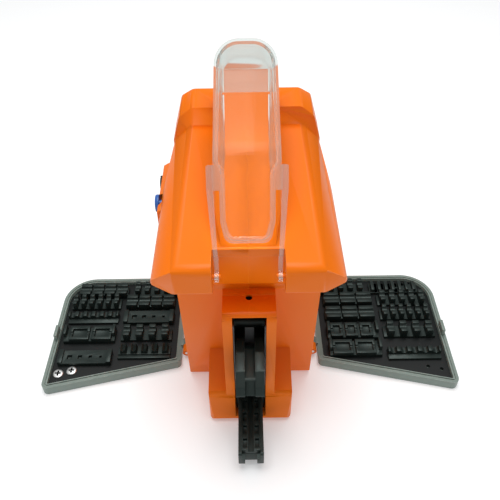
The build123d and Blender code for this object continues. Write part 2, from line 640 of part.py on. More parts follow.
def shaft_bearings():
    y, z = pinion_centre()
    return kept([ring_x(BEARING_R, SHAFT_R + FIT, side * FRAME_X, side * (FRAME_X + FRAME_T), y, z)
                 if side > 0 else
                 ring_x(BEARING_R, SHAFT_R + FIT, -FRAME_X - FRAME_T, -FRAME_X, y, z) for side in (-1, 1)])


def pivot_washers():
    inner = JAW_HALF + 0.1
    outer = FRAME_X - 0.1
    return kept([ring_x(9, PIVOT_R, inner, outer, PIVOT_Y, PIVOT_Z),
                 ring_x(9, PIVOT_R, -outer, -inner, PIVOT_Y, PIVOT_Z)])


def frame_ties():
    """Bolts that hold the two frame plates apart, two of them with spacer tubes."""
    edge = FRAME_X + FRAME_T
    return kept([rod_x(TIE_R, -edge, edge, y, z) for y, z in SPACED_TIES + [JAW_TIE]])


def frame_spacers():
    return kept([ring_x(4.5, TIE_R, -FRAME_X, FRAME_X, y, z) for y, z in SPACED_TIES])


def base_plate():
    low = BASE_Z + WALL
    half = POCKET_HALF - WALL - 1.0
    return block(-half, half, FRONT_FOOT_Y + WALL + 2, REAR_Y - WALL - 2, low, low + PLATE_T)


def feet():
    half = CORE_HALF - 13.5
    places = [(x, y) for x in (-half, half) for y in (-12, 96)] + [(-22, -60), (22, -60)]
    return kept([rod_z(6, 0, BASE_Z, x, y) for x, y in places])


def shell_screws():
    """Long screws through the housing's bosses, sunk below both faces."""
    return kept([rod_x(SCREW_R, -SCREW_HALF, SCREW_HALF, y, z) for y, z in BOSSES])


# ---- electrics ----------------------------------------------------------------------------------
def control_board():
    x = -POCKET_HALF + WALL + 3
    return block(x, x + 1.6, -4, 76, 56, 116)


def board_parts():
    """Capacitors, a relay and a heat sink on the control board."""
    x = -POCKET_HALF + WALL + 4.6
    cans = [rod_x(5, x, x + 14, y, 104) for y in (8, 22, 36)]
    relay = block(x, x + 12, 46, 66, 92, 110)
    sink = block(x, x + 16, 4, 40, 66, 84)
    for fin in range(5):
        sink = sink - block(x + 3, x + 20, 8 + fin * 6, 11 + fin * 6, 60, 90)
    return kept(cans + [relay, sink])


def board_standoffs():
    x = -POCKET_HALF + WALL
    return kept([rod_x(2.5, x, x + 3, y, z) for y in (0, 72) for z in (60, 112)])


def power_supply():
    low = BASE_Z + WALL + PLATE_T
    x = -POCKET_HALF + WALL + 1.5
    case = block(x, -FRAME_X - FRAME_T - 2, 2, 84, low, low + 34)
    for slot in range(9):
        y = 10 + slot * 8
        case = case - block(x - 1, x + 1, y, y + 3, low + 8, low + 28)
    return case


def panel_plug(extra):
    """The rear panel's part that fills the opening in the housing's back."""
    return block(-PANEL_HALF + 4 - extra, PANEL_HALF - 4 + extra, REAR_Y - WALL - 1, REAR_Y + 0.5,
                 PANEL_Z[0] + 4 - extra, PANEL_Z[1] - 4 + extra)


def around(centre, size, y0, y1, grow=0.0):
    x, z = centre
    w, h = size
    return block(x - w / 2 - grow, x + w / 2 + grow, y0, y1, z - h / 2 - grow, z + h / 2 + grow)


def rear_panel():
    face = block(-PANEL_HALF, PANEL_HALF, REAR_Y, REAR_Y + PANEL_T, PANEL_Z[0], PANEL_Z[1])
    face = fillet(face.edges().filter_by(Axis.Y), 4)
    body = face + block(-PANEL_HALF + 4, PANEL_HALF - 4, REAR_Y - WALL - 1, REAR_Y, PANEL_Z[0] + 4,
                        PANEL_Z[1] - 4)
    body = body - around(INLET, INLET_SIZE, 90, 130) - around(ROCKER, ROCKER_SIZE, 90, 130)
    return body - rod_y(PEDAL_R, 90, 130, PEDAL[0], PEDAL[1])


def power_inlet():
    """Three-pin inlet, open to the rear."""
    back = REAR_Y + PANEL_T
    body = around(INLET, INLET_SIZE, back - 24, back)
    body = body - around(INLET, INLET_SIZE, back - 16, back + 1, -2.0)
    x, z = INLET
    pins = [block(x + dx - 1, x + dx + 1, back - 16, back - 7, z + dz - 2, z + dz + 2)
            for dx, dz in ((-7, -2), (0, 2), (7, -2))]
    return joined([body] + pins)


def pedal_socket():
    back = REAR_Y + PANEL_T
    body = rod_y(PEDAL_R, back - 18, back, PEDAL[0], PEDAL[1])
    return body - rod_y(5.5, back - 12, back + 1, PEDAL[0], PEDAL[1])


def rocker_frame():
    back = REAR_Y + PANEL_T
    body = around(ROCKER, ROCKER_SIZE, back - 12, back)
    return body - around(ROCKER, ROCKER_SIZE, back - 8, back + 1, -1.2)


def power_rocker():
    """Rocker of the power switch, tilted to its off side about its own pivot."""
    x, z = ROCKER
    half = ROCKER_SIZE[0] / 2 - 1.9
    tall = ROCKER_SIZE[1] / 2 - 1.6
    points = [(-half, -1.0), (0, -2.8), (half, -1.0), (half, 2.8), (0, 1.2), (-half, 2.8)]
    turned = Pos(x, REAR_Y + PANEL_T + ROCKER_PIVOT, 0) * Rot(0, 0, -ROCKER_TILT)
    return turned * prism_z(points, z - tall, z + tall)


def control_pod():
    """Raised pod on the left side that carries the button and the dial."""
    y0, y1 = POD_Y
    z0, z1 = POD_Z
    profile = [(y0, z0), (y1, z0), (y1, z1), (y0, z1)]
    body = prism_x(profile, POD_X, -DECK_HALF, 6)
    section = [(POD_X, z0 + 3), (POD_X, z1 - 6), (POD_X + 8, z1), (-40, z1), (-40, z0), (POD_X + 3, z0)]
    body = body & prism_y(section, y0, y1)
    body = body - upper_body(0)
    for y, z in (BUTTON_AT, DIAL_AT):
        body = body - rod_x(STEM_R + FIT, -90, -20, y, z)
    y, z = BUTTON_AT
    body = body - rod_x(BUTTON_R + SKIN_GAP, POD_X - 1, POD_X + BUTTON_TRAVEL + 0.7, y, z)
    return body


def crimp_button():
    y, z = BUTTON_AT
    cap = rod_x(BUTTON_R, POD_X - 2.5, POD_X + 0.4, y, z)
    return cap + rod_x(STEM_R, POD_X, -BODY_HALF + 6, y, z)


def force_dial():
    y, z = DIAL_AT
    face = POD_X - DIAL_PROUD
    knob = rod_x(DIAL_R, face, POD_X - SKIN_GAP, y, z)
    knob = knob - block(face - 1, face + 0.7, y - 0.8, y + 0.8, z - DIAL_R, z + DIAL_R)
    return knob + rod_x(STEM_R, face + 0.7, -BODY_HALF + 6, y, z)


# ---- guard --------------------------------------------------------------------------------------
def guard_frame(shape):
    """From the guard's own axes, X across, Y along its length and Z towards its web, to its place."""
    turn = Plane(origin=(0, GUARD_Y, GUARD_Z), x_dir=(-1, 0, 0),
                 z_dir=(0, sin(radians(GUARD_ANGLE)), -cos(radians(GUARD_ANGLE))))
    return turn * shape


def guard_outline(grow):
    """Plan of the clear tub, from its rounded near end to its far end."""
    half = [(10.5 + grow, GUARD_NEAR_L - grow), (13.4 + grow, GUARD_NEAR_L + 10),
            (13.6 + grow, GUARD_STEP_L - 8), (17.0 + grow, GUARD_STEP_L), (14.4 + grow, GUARD_LENGTH + grow)]
    points = half + [(-x, y) for x, y in reversed(half)]
    return points, [6, 8, 5, 5, 11 + grow, 11 + grow, 5, 5, 8, 6]


def tub(grow):
    """Tub between its open rim and a smaller web."""
    points, radii = guard_outline(grow)
    body = prism_z(points, -1 if grow == 0 else 0, GUARD_DEPTH, radii)
    lean = [(13.2 + grow, GUARD_DEPTH - GUARD_WALL + grow), (18.5 + grow, -1), (-18.5 - grow, -1),
            (-13.2 - grow, GUARD_DEPTH - GUARD_WALL + grow)]
    body = body & prism_y(lean, 0, GUARD_LENGTH + 5)
    long = [(20, -1), (GUARD_LENGTH + 5, -1), (GUARD_LENGTH + 5, GUARD_DEPTH - GUARD_WALL + grow - 5),
            (GUARD_LENGTH - 6, GUARD_DEPTH - GUARD_WALL + grow), (72, GUARD_DEPTH - GUARD_WALL + grow),
            (20, 1.0 + grow)]
    return body & prism_x(long, -40, 40, [0, 0, 0, 5, 10, 0])


def guard():
    """Clear guard: a tub with a rim, an ear on each side of its step, and a leg to each hinge lug."""
    points, radii = guard_outline(GUARD_RIM)
    rim = prism_z(points, 0, GUARD_WALL, radii)
    low, high = GUARD_STEP_L - 17, GUARD_STEP_L - 2
    ears = prism_z([(GUARD_EAR_X, low), (GUARD_EAR_X, high), (-GUARD_EAR_X, high), (-GUARD_EAR_X, low)],
                   0, GUARD_WALL, 1.0)
    body = tub(GUARD_WALL) + rim + ears
    outer_foot = GUARD_LUG_X + GUARD_LUG_T
    for side in (-1, 1):
        leg = [(side * GUARD_LUG_X, 4), (side * outer_foot, 4), (side * GUARD_EAR_X, low + 1),
               (side * (GUARD_EAR_X - GUARD_LEG), low + 1)]
        body = body + prism_z(leg, 0, GUARD_WALL)
    body = body - tub(0)
    for side in (-1, 1):
        x0, x1 = sorted((side * GUARD_LUG_X, side * (GUARD_LUG_X + GUARD_LUG_T)))
        lug = rod_x(3.6, x0, x1, 0, 0) + block(x0, x1, 0, 12, -0.6, GUARD_WALL)
        body = body + lug - rod_x(GUARD_PIN_R + FIT, x0 - 1, x1 + 1, 0, 0)
    rib = block(-30, 30, 108, 109.6, 0, GUARD_DEPTH) & tub(0) & block(-30, 30, 100, 120, GUARD_DEPTH - 5, 40)
    body = body + rib
    return guard_frame(body)


def guard_pin(side):
    x0, x1 = sorted((side * (GUARD_LUG_X - 1), side * (NOTCH_HALF + WALL)))
    return rod_x(GUARD_PIN_R, x0, x1, GUARD_Y, GUARD_Z)


# ---- doors, drawn for the right side and mirrored for the left ----------------------------------
def door_outline(inset):
    slant = (DOOR_SLANT_Y - DOOR_NEAR_Y) / (DOOR_FAR_X - DOOR_NEAR_X)
    near = DOOR_NEAR_Y + inset + slant * inset
    far = DOOR_SLANT_Y + inset - slant * inset
    points = [(DOOR_NEAR_X + inset, near), (DOOR_FAR_X - inset, far), (DOOR_FAR_X - inset, DOOR_BACK_Y - inset),
              (DOOR_NEAR_X + inset, DOOR_BACK_Y - inset)]
    return points, [max(4 - inset, 1), max(5 - inset, 1), 28 - inset, max(4 - inset, 1)]


def door_shell():
    """Door: a shallow tray with a rim, a latch tab and two hinge knuckles."""
    outer, radii = door_outline(0)
    inner, inner_radii = door_outline(RIM_T)
    body = prism_z(outer, DOOR_LOW_Z, DOOR_RIM_Z, radii)
    body = body - prism_z(inner, DOOR_FLOOR_Z, DOOR_RIM_Z + 5, inner_radii)
    groove, groove_radii = door_outline(RIM_T * 0.55)
    ridge, ridge_radii = door_outline(RIM_T * 0.8)
    body = body - (prism_z(groove, DOOR_RIM_Z - 1.2, DOOR_RIM_Z + 5, groove_radii)
                   - prism_z(ridge, DOOR_RIM_Z - 3, DOOR_RIM_Z + 6, ridge_radii))
    tab = block(DOOR_FAR_X - 4.2, DOOR_FAR_X - 1.6, TAB_Y, TAB_Y + TAB_LONG, DOOR_RIM_Z - 2, DIE_TOP_Z)
    body = body + tab
    sill = block(DOOR_NEAR_X - 1, DOOR_NEAR_X + RIM_T + 1, inner[0][1] + 1, DOOR_BACK_Y - RIM_T - 1,
                 DOOR_PLATE_Z, DOOR_RIM_Z + 1)
    body = body - sill
    for y0 in DOOR_KNUCKLES_Y:
        y1 = y0 + KNUCKLE_LONG - 1
        barrel = rod_y(KNUCKLE_R, y0, y1, HINGE_X, HINGE_Z)
        web = block(HINGE_X, DOOR_NEAR_X + 1, y0, y1, HINGE_Z - KNUCKLE_R, DOOR_PLATE_Z + 2)
        body = body + barrel + web - rod_y(HINGE_PIN_R + FIT, y0 - 1, y1 + 1, HINGE_X, HINGE_Z)
    return body


def door_plate():
    """Black die plate in the tray, with screw holes at its outer front corner."""
    points, radii = door_outline(RIM_T + 0.2)
    body = prism_z(points, DOOR_FLOOR_Z, DOOR_PLATE_Z, radii)
    for x, y in DOOR_SCREWS:
        body = body - rod_z(DOOR_SCREW_R, DOOR_FLOOR_Z - 1, DOOR_PLATE_Z + 1, x, y)
    return body


def door_screws():
    """Pan-head screws that hold the plate down."""
    heads = [rod_z(4.4, DOOR_PLATE_Z, DOOR_PLATE_Z + 1.6, x, y) for x, y in DOOR_SCREWS]
    shanks = [rod_z(DOOR_SCREW_R, DOOR_FLOOR_Z, DOOR_PLATE_Z, x, y) for x, y in DOOR_SCREWS]
    return kept([head + shank for head, shank in zip(heads, shanks)])


def door_pins():
    long = KNUCKLE_LONG * 2 + SKIN_GAP - 1
    return [rod_y(HINGE_PIN_R, y0, y0 + long, HINGE_X, HINGE_Z) for y0 in KNUCKLES_Y]


def finned(x, y, count, wide=12.0, tall=7.0):
    """Die strip with upright fins across a low bar."""
    z = DOOR_PLATE_Z
    base = block(x, x + DIE_LONG, y - wide / 2, y + wide / 2, z, z + 3)
    step = DIE_LONG / count
    starts = [x + step * (i + 0.2) for i in range(count)]
    fins = [block(start, start + step * 0.45, y - wide / 2 + 0.5, y + wide / 2 - 0.5, z + 2, z + tall)
            for start in starts]
    return joined([base] + fins)


def bladed(x, y, count, wide=12.0, tall=10.6):
    """Die strip of tall, thin blades with an open notch in each."""
    z = DOOR_PLATE_Z
    body = block(x, x + DIE_LONG, y - wide / 2, y + wide / 2, z, z + 2.5)
    step = DIE_LONG / count
    for i in range(count):
        start = x + step * i + step * 0.25
        blade = block(start, start + step * 0.5, y - wide / 2, y + wide / 2, z + 2, z + tall)
        blade = blade - rod_x(wide * 0.22, start - 1, start + step, y, z + tall)
        body = body + blade
    return body


def blocky(x, y, count, wide=13.0, tall=8.0):
    """Die strip of solid blocks, each with a round groove along its top."""
    z = DOOR_PLATE_Z
    body = block(x, x + DIE_LONG, y - wide / 2 + 1, y + wide / 2 - 1, z, z + 4)
    step = DIE_LONG / count
    for i in range(count):
        start = x + step * i + 0.8
        body = body + block(start, start + step - 1.6, y - wide / 2, y + wide / 2, z, z + tall)
    groove = rod_x(wide * 0.2, x - 1, x + DIE_LONG + 1, y, z + tall)
    return body - groove


def toothed(x, y, count, wide=13.0, tall=7.5):
    """Die strip of wedge-shaped teeth behind a low front bar."""
    z = DOOR_PLATE_Z
    bar = block(x, x + DIE_LONG, y - wide / 2, y - wide / 2 + 3, z, z + 2.5)
    base = block(x, x + DIE_LONG, y - 2, y + wide / 2, z, z + 2)
    floor = block(x + 3, x + DIE_LONG - 3, y - wide / 2 + 2, y, z, z + 1)
    step = DIE_LONG / count
    teeth = []
    for i in range(count):
        middle = x + step * (i + 0.5)
        shape = [(middle - step * 0.34, z + 1), (middle + step * 0.34, z + 1), (middle + step * 0.22, z + tall),
                 (middle, z + tall - 2.6), (middle - step * 0.22, z + tall)]
        teeth.append(prism_y(shape, y - 1.5, y + wide / 2 - 0.5))
    return joined([bar, base, floor] + teeth)


def pocketed(x, y, count, wide=15.0, tall=7.0):
    """Die strip of square frames, each with a stepped pocket, between end blades."""
    z = DOOR_PLATE_Z
    body = block(x, x + DIE_LONG, y - wide / 2, y + wide / 2, z, z + 4)
    step = (DIE_LONG - 6) / count
    for i in range(count):
        start = x + 3 + step * i
        frame = block(start, start + step - 2.5, y - wide / 2, y + wide / 2, z, z + tall)
        pocket = block(start + 2.4, start + step - 4.9, y - wide / 2 + 3, y + wide / 2 - 3, z + 2, z + tall + 1)
        nick = block(start - 1, start + step, y - 1.2, y + 1.2, z + tall - 1.5, z + tall + 1)
        body = body + (frame - pocket - nick)
    for start in (x, x + DIE_LONG - 2.5):
        body = body + block(start, start + 2.5, y - 3, y + wide / 2, z, z + tall + 2.5)
    return body


def scalloped(x, y, count, wide=11.0, tall=7.5):
    """Upright bar with a row of half-round bites, behind a low step."""
    z = DOOR_PLATE_Z
    step = DIE_LONG / count
    body = block(x, x + DIE_LONG, y - wide / 2, y + wide / 2, z, z + 2.5)
    body = body + block(x, x + DIE_LONG, y - 1, y + wide / 2 - 1, z, z + tall)
    for i in range(count):
        body = body - rod_y(step * 0.3, y - wide, y + wide, x + step * (i + 0.5), z + tall)
    return body


def flat(x, y, count, wide=14.0, tall=4.0):
    """Flat die plate with a row of square holes and an end block at each end."""
    z = DOOR_PLATE_Z
    body = block(x, x + DIE_LONG, y - wide / 2, y + wide / 2, z, z + tall)
    step = (DIE_LONG - 10) / count
    for i in range(count):
        middle = x + 5 + step * (i + 0.5)
        hole = 1.1 + 0.35 * i
        body = body - block(middle - hole, middle + hole, y - hole, y + hole, z + 1, z + 20)
    ends = [block(start, start + 4, y - wide / 2, y + wide / 2, z, z + tall + 2)
            for start in (x, x + DIE_LONG - 4)]
    return joined([body] + ends)


# inner die, its count, outer die, its count; the rear row first
RIGHT_DIES = [(bladed, 5, finned, 7), (blocky, 3, bladed, 5), (blocky, 3, bladed, 6), (pocketed, 3, bladed, 4),
              (pocketed, 2, scalloped, 5)]
LEFT_DIES = [(bladed, 5, blocky, 4), (blocky, 4, bladed, 6), (flat, 4, scalloped, 6), (bladed, 4, pocketed, 2),
             (toothed, 5, flat, 4)]


def die_row(kinds, number):
    """One row of two die strips: inner column, then outer column."""
    inner, inner_count, outer, outer_count = kinds[number]
    y = DIE_ROWS[number]
    outer_y = NEAR_OUTER_Y if number == len(DIE_ROWS) - 1 else y
    shift = REAR_ROW_SHIFT if number == 0 else 0
    return kept([inner(DIE_X[0] - shift, y, inner_count), outer(DIE_X[1] - shift, outer_y, outer_count)])


# ---- every node ---------------------------------------------------------------------------------
def build():
    os.makedirs("parts", exist_ok=True)
    whole = housing()
    save("left_shell", whole & block(-100, 0, -150, 150, -5, 300))
    save("right_shell", whole & block(0, 100, -150, 150, -5, 300))
    save("base_plate", base_plate())
    save("rubber_feet", feet())
    save("shell_screws", shell_screws())
    save("nose_screw", rod_z(NOSE_SCREW_R, NOSE_TOP_Z - 12, NOSE_TOP_Z - 2, 0, NOSE_SCREW_Y))

    save("left_frame_plate", frame_plate(-1))
    save("right_frame_plate", frame_plate(1))
    save("frame_tie_bolts", frame_ties())
    save("frame_spacers", frame_spacers())
    save("jaw_pivot_pin", rod_x(PIVOT_R, -FRAME_X - FRAME_T, FRAME_X + FRAME_T, PIVOT_Y, PIVOT_Z))
    save("pivot_washers", pivot_washers())
    save("lower_jaw", lower_jaw())
    save("lower_die", lower_die())
    save("upper_jaw_left_plate", jaw_plate(-1))
    save("upper_jaw_right_plate", jaw_plate(1))
    save("upper_die", upper_die())
    save("upper_jaw_rivets", jaw_rivets())
    save("jaw_sector_gear", sector_gear())
    save("drive_pinion", pinion())
    save("drive_shaft", drive_shaft())
    save("shaft_bearings", shaft_bearings())
    save("worm_gearbox", gearbox())
    save("motor", motor())

    save("control_board", control_board())
    save("board_components", board_parts())
    save("board_standoffs", board_standoffs())
    save("power_supply", power_supply())
    save("rear_panel", rear_panel())
    save("power_inlet", power_inlet())
    save("pedal_socket", pedal_socket())
    save("switch_frame", rocker_frame())
    save("power_rocker", power_rocker())
    save("control_pod", control_pod())
    save("crimp_button", crimp_button())
    save("force_dial", force_dial())

    save("guard", guard())
    save("guard_hinge_pins", kept([guard_pin(-1), guard_pin(1)]))

    pins = door_pins()
    save("door_hinge_pins", kept(pins + [mirrored(pin) for pin in pins]))
    for name, flip in (("right", False), ("left", True)):
        place = mirrored if flip else (lambda shape: shape)
        save(f"{name}_door", place(door_shell()))
        save(f"{name}_die_plate", place(door_plate()))
        for number in range(len(DIE_ROWS)):
            kinds = LEFT_DIES if flip else RIGHT_DIES
            save(f"{name}_dies_row_{number + 1}", place(die_row(kinds, number)))
    save("left_plate_screws", mirrored(door_screws()))


if __name__ == "__main__":
    build()
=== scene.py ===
"""Looks of the bench terminal crimper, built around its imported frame."""
import json
import math

import bmesh
import bpy
from bpy.props import FloatProperty, FloatVectorProperty, PointerProperty
from mathutils import Matrix, Vector


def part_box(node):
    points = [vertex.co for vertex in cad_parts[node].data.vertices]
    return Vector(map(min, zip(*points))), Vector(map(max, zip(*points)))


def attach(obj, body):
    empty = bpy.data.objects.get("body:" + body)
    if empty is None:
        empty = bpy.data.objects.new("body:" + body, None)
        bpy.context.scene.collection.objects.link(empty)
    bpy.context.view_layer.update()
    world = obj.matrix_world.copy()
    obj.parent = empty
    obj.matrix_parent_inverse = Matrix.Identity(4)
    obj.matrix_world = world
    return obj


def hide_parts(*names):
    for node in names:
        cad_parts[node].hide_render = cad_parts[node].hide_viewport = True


bl_info = {
    "name": "Bench terminal crimper",
    "version": (1, 0, 0),
    "blender": (4, 5, 0),
    "location": "View3D > Sidebar > Crimper",
    "description": "Builds the looks of a bench terminal crimper around its packed frame",
    "category": "Object",
}

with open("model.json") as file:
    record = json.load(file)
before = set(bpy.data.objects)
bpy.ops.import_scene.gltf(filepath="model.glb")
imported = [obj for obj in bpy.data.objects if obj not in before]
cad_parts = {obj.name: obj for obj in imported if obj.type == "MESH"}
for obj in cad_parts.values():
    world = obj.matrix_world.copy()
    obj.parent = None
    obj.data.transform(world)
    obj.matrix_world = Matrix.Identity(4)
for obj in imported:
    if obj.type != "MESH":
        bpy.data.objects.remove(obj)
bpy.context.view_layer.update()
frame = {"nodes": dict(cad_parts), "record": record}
MM = 0.001

SMOOTH_ANGLE = 34.0           # faces that meet at less are shaded as one
CREASE_ANGLE = 32.0           # edges sharper than this are bevelled
MERGE = 0.002 * MM            # vertices nearer than this are joined
DIE_ROWS = range(1, 6)        # die strips in each door

CROSS_ARM = 0.58              # the screws' recess and head, as shares of their radius and height
CROSS_HALF = 0.17
CROSS_TAPER = 0.72
CROWN_RADIUS = 0.72
CROWN_HEIGHT = 0.98
CROWN_STEPS = ((1.26, 0.12), (1.10, 0.25), (1.0, 0.56))

PANEL_INSET = 5.0 * MM        # rear panel's screws
PANEL_HEAD = 2.6 * MM
PANEL_HEAD_HIGH = 1.6 * MM
PANEL_HEAD_SUNK = 1.2 * MM
SHANK = 1.6 * MM

DRAFT_REACH = 22.0 * MM       # length of the guard's end that is sloped
DRAFT_BLEND = 14.0 * MM       # length over which the slope grows
GUARD_DEPTH = 17.0 * MM       # from the guard's rim to its web

BUTTON_STEM = 2.4 * MM
FOOT_RADIUS = 6.0 * MM
FLOOR_HALF = 6.0
CAMERA_TILT = 44.03           # degrees below level
CAMERA_ROLL = -0.8


# ---- places taken from the frame ----------------------------------------------------------------
def body_of(node):
    for body, members in frame["record"]["behaviour"]["bodies"].items():
        if node in members:
            return body
    raise ValueError("no body holds " + node)


def slot_of(node):
    for part in frame["record"]["subparts"]:
        if part["node"] == node:
            return part["material_slot"]
    raise ValueError("no slot for " + node)


# ---- settings -----------------------------------------------------------------------------------
def tint(name, description, default):
    return FloatVectorProperty(name=name, description=description, subtype="COLOR", size=3, min=0.0,
                               max=1.0, default=default)


def length(name, description, default):
    return FloatProperty(name=name, description=description, default=default, unit="LENGTH", min=0.0,
                         precision=5)


class CrimperColours(bpy.types.PropertyGroup):
    orange: tint("Housing orange", "Moulded housing", (0.88, 0.175, 0.002))
    door_grey: tint("Door grey", "Rims of the fold-down doors", (0.19, 0.245, 0.215))
    tray_black: tint("Plate black", "Die plates in the doors", (0.005, 0.007, 0.007))
    die_black: tint("Die black", "Oxide-black dies and jaws", (0.017, 0.027, 0.024))
    button_blue: tint("Button blue", "Crimp button", (0.03, 0.12, 0.42))
    clear: tint("Guard tint", "Clear guard", (0.88, 0.92, 0.91))
    # Paler, less clear tone of the guard's walls, rim and far end: a painted reflection.
    painted_wall_reflection: tint("Guard wall reflection", "Painted reflection on the clear guard's walls, rim and far end", (0.74, 0.79, 0.76))
    # Paler tone of the guard's bevelled edges: a painted highlight.
    painted_edge_highlight: tint("Guard edge", "Painted highlight on the clear guard's bevelled edges", (0.60, 0.66, 0.63))


class CrimperSizes(bpy.types.PropertyGroup):
    housing_edge: length("Housing edge", "Upper limit of the bevel on the housing", 1.1 * MM)
    door_edge: length("Door edge", "Upper limit of the bevel on the doors", 0.7 * MM)
    steel_edge: length("Steel edge", "Upper limit of the bevel on steel parts", 0.35 * MM)
    guard_edge: length("Guard edge", "Upper limit of the bevel on the guard", 0.35 * MM)
    guard_angle: FloatProperty(name="Guard angle", default=60.0, min=0.0, max=90.0,
                               description="Rise of the guard's length at rest, in degrees")
    guard_draft: length("Guard draft", "Slope of the guard's far end wall", 7.5 * MM)
    # Far end of the guard that is painted paler: a painted reflection.
    painted_reflection_reach: length("Guard reflection reach", "Length of the guard's far end that takes the painted reflection", 29.0 * MM)
    screw_head: length("Screw head", "Radius of the plate screws' heads", 4.4 * MM)
    camera_height: length("Camera height", "Height of the camera above the table", 0.440)
    camera_back: length("Camera distance", "Distance of the camera in front of the origin", 0.327)


def colours():
    return bpy.context.scene.crimper_colours


def sizes():
    return bpy.context.scene.crimper_sizes


# ---- shared material effects --------------------------------------------------------------------
def new_group(name, inputs, outputs):
    """Empty shader group with float inputs and the named outputs."""
    group = bpy.data.node_groups.new(name, "ShaderNodeTree")
    for label, default in inputs:
        socket = group.interface.new_socket(label, in_out="INPUT", socket_type="NodeSocketFloat")
        socket.default_value = default
    for label, kind in outputs:
        group.interface.new_socket(label, in_out="OUTPUT", socket_type=kind)
    return group, group.nodes.new("NodeGroupInput"), group.nodes.new("NodeGroupOutput")


def math_node(tree, operation, first, second, clamp=False):
    """Math node on two numbers or sockets."""
    node = tree.nodes.new("ShaderNodeMath")
    node.operation = operation
    node.use_clamp = clamp
    for socket, value in zip(node.inputs, (first, second)):
        if isinstance(value, (int, float)):
            socket.default_value = value
        else:
            tree.links.new(value, socket)
    return node.outputs[0]


def noise_node(tree, scale, detail, vector=None):
    """Noise on Object coordinates, or on the given vector; scale is a socket."""
    node = tree.nodes.new("ShaderNodeTexNoise")
    node.inputs["Detail"].default_value = detail
    tree.links.new(scale, node.inputs["Scale"])
    if vector is None:
        vector = tree.nodes.new("ShaderNodeTexCoord").outputs["Object"]
    tree.links.new(vector, node.inputs["Vector"])
    return node.outputs["Fac"]


def grain_group():
    """Fine grain and slow mottling of a moulded or cast surface."""
    group, source, out = new_group("surface_grain", [("Grain Scale", 2200.0), ("Mottle Scale", 26.0)],
                                   [("Height", "NodeSocketFloat"), ("Mottle", "NodeSocketFloat")])
    fine = noise_node(group, source.outputs["Grain Scale"], 2.0)
    slow = noise_node(group, source.outputs["Mottle Scale"], 4.0)
    group.links.new(fine, out.inputs["Height"])
    group.links.new(slow, out.inputs["Mottle"])
    return group


def rub_group():
    """Mask that is high along worn edges, broken up by noise."""
    group, source, out = new_group("edge_rub",
                                   [("Radius", 0.0008), ("Amount", 1.0), ("Break Scale", 260.0)],
                                   [("Mask", "NodeSocketFloat")])
    bevel = group.nodes.new("ShaderNodeBevel")
    bevel.samples = 4
    group.links.new(source.outputs["Radius"], bevel.inputs["Radius"])
    geometry = group.nodes.new("ShaderNodeNewGeometry")
    dot = group.nodes.new("ShaderNodeVectorMath")
    dot.operation = "DOT_PRODUCT"
    group.links.new(bevel.outputs["Normal"], dot.inputs[0])
    group.links.new(geometry.outputs["Normal"], dot.inputs[1])
    turned = math_node(group, "SUBTRACT", 1.0, dot.outputs["Value"])
    broken = noise_node(group, source.outputs["Break Scale"], 5.0)
    broken = math_node(group, "SUBTRACT", broken, 0.38, clamp=True)
    mask = math_node(group, "MULTIPLY", turned, broken)
    mask = math_node(group, "MULTIPLY", mask, 16.0)
    mask = math_node(group, "MULTIPLY", mask, source.outputs["Amount"], clamp=True)
    group.links.new(mask, out.inputs["Mask"])
    return group


def brush_group():
    """Fine lines of ground or brushed steel, along X."""
    group, source, out = new_group("brushed_lines", [("Scale", 900.0)], [("Height", "NodeSocketFloat")])
    coords = group.nodes.new("ShaderNodeTexCoord")
    stretch = group.nodes.new("ShaderNodeMapping")
    stretch.inputs["Scale"].default_value = (1.0, 0.06, 1.0)
    group.links.new(coords.outputs["Object"], stretch.inputs["Vector"])
    lines = noise_node(group, source.outputs["Scale"], 2.0, stretch.outputs["Vector"])
    group.links.new(lines, out.inputs["Height"])
    return group


GROUPS = {}


def shared(name):
    """The named effect's group, built once."""
    makers = {"grain": grain_group, "rub": rub_group, "brush": brush_group}
    if name not in GROUPS:
        GROUPS[name] = makers[name]()
    return GROUPS[name]


# ---- materials ----------------------------------------------------------------------------------
class Finish:
    """A Principled material with the shared effects placed in it."""

    def __init__(self, name, colour, roughness, metallic=0.0):
        self.material = bpy.data.materials.new(name)
        self.material.use_nodes = True
        self.tree = self.material.node_tree
        self.shader = self.tree.nodes["Principled BSDF"]
        self.colour = tuple(colour) + (1.0,)
        self.shader.inputs["Base Color"].default_value = self.colour
        self.shader.inputs["Roughness"].default_value = roughness
        self.shader.inputs["Metallic"].default_value = metallic
        self.material.diffuse_color = self.colour
        self.colour_socket = None

    def effect(self, name, **values):
        node = self.tree.nodes.new("ShaderNodeGroup")
        node.node_tree = shared(name)
        for label, value in values.items():
            node.inputs[label.replace("_", " ")].default_value = value
        return node

    def set(self, **values):
        for label, value in values.items():
            self.shader.inputs[label.replace("_", " ")].default_value = value
        return self

    def mix(self, mask, colour):
        """Mixes the base colour towards another one by a mask."""
        node = self.tree.nodes.new("ShaderNodeMix")
        node.data_type = "RGBA"
        self.tree.links.new(mask, node.inputs["Factor"])
        node.inputs["A"].default_value = self.colour
        if self.colour_socket is not None:
            self.tree.links.new(self.colour_socket, node.inputs["A"])
        node.inputs["B"].default_value = tuple(colour) + (1.0,)
        self.colour_socket = node.outputs["Result"]
        self.tree.links.new(self.colour_socket, self.shader.inputs["Base Color"])

    def mottle(self, socket, colour, strength, roughness_low, roughness_high):
        """Slow changes of colour and gloss."""
        mask = math_node(self.tree, "MULTIPLY", socket, strength)
        self.mix(mask, colour)
        spread = self.tree.nodes.new("ShaderNodeMapRange")
        self.tree.links.new(socket, spread.inputs["Value"])
        spread.inputs["From Min"].default_value = 0.3
        spread.inputs["From Max"].default_value = 0.7
        spread.inputs["To Min"].default_value = roughness_low
        spread.inputs["To Max"].default_value = roughness_high
        self.tree.links.new(spread.outputs["Result"], self.shader.inputs["Roughness"])

    def bump(self, socket, strength, distance):
        node = self.tree.nodes.new("ShaderNodeBump")
        node.inputs["Strength"].default_value = strength
        node.inputs["Distance"].default_value = distance
        self.tree.links.new(socket, node.inputs["Height"])
        self.tree.links.new(node.outputs["Normal"], self.shader.inputs["Normal"])


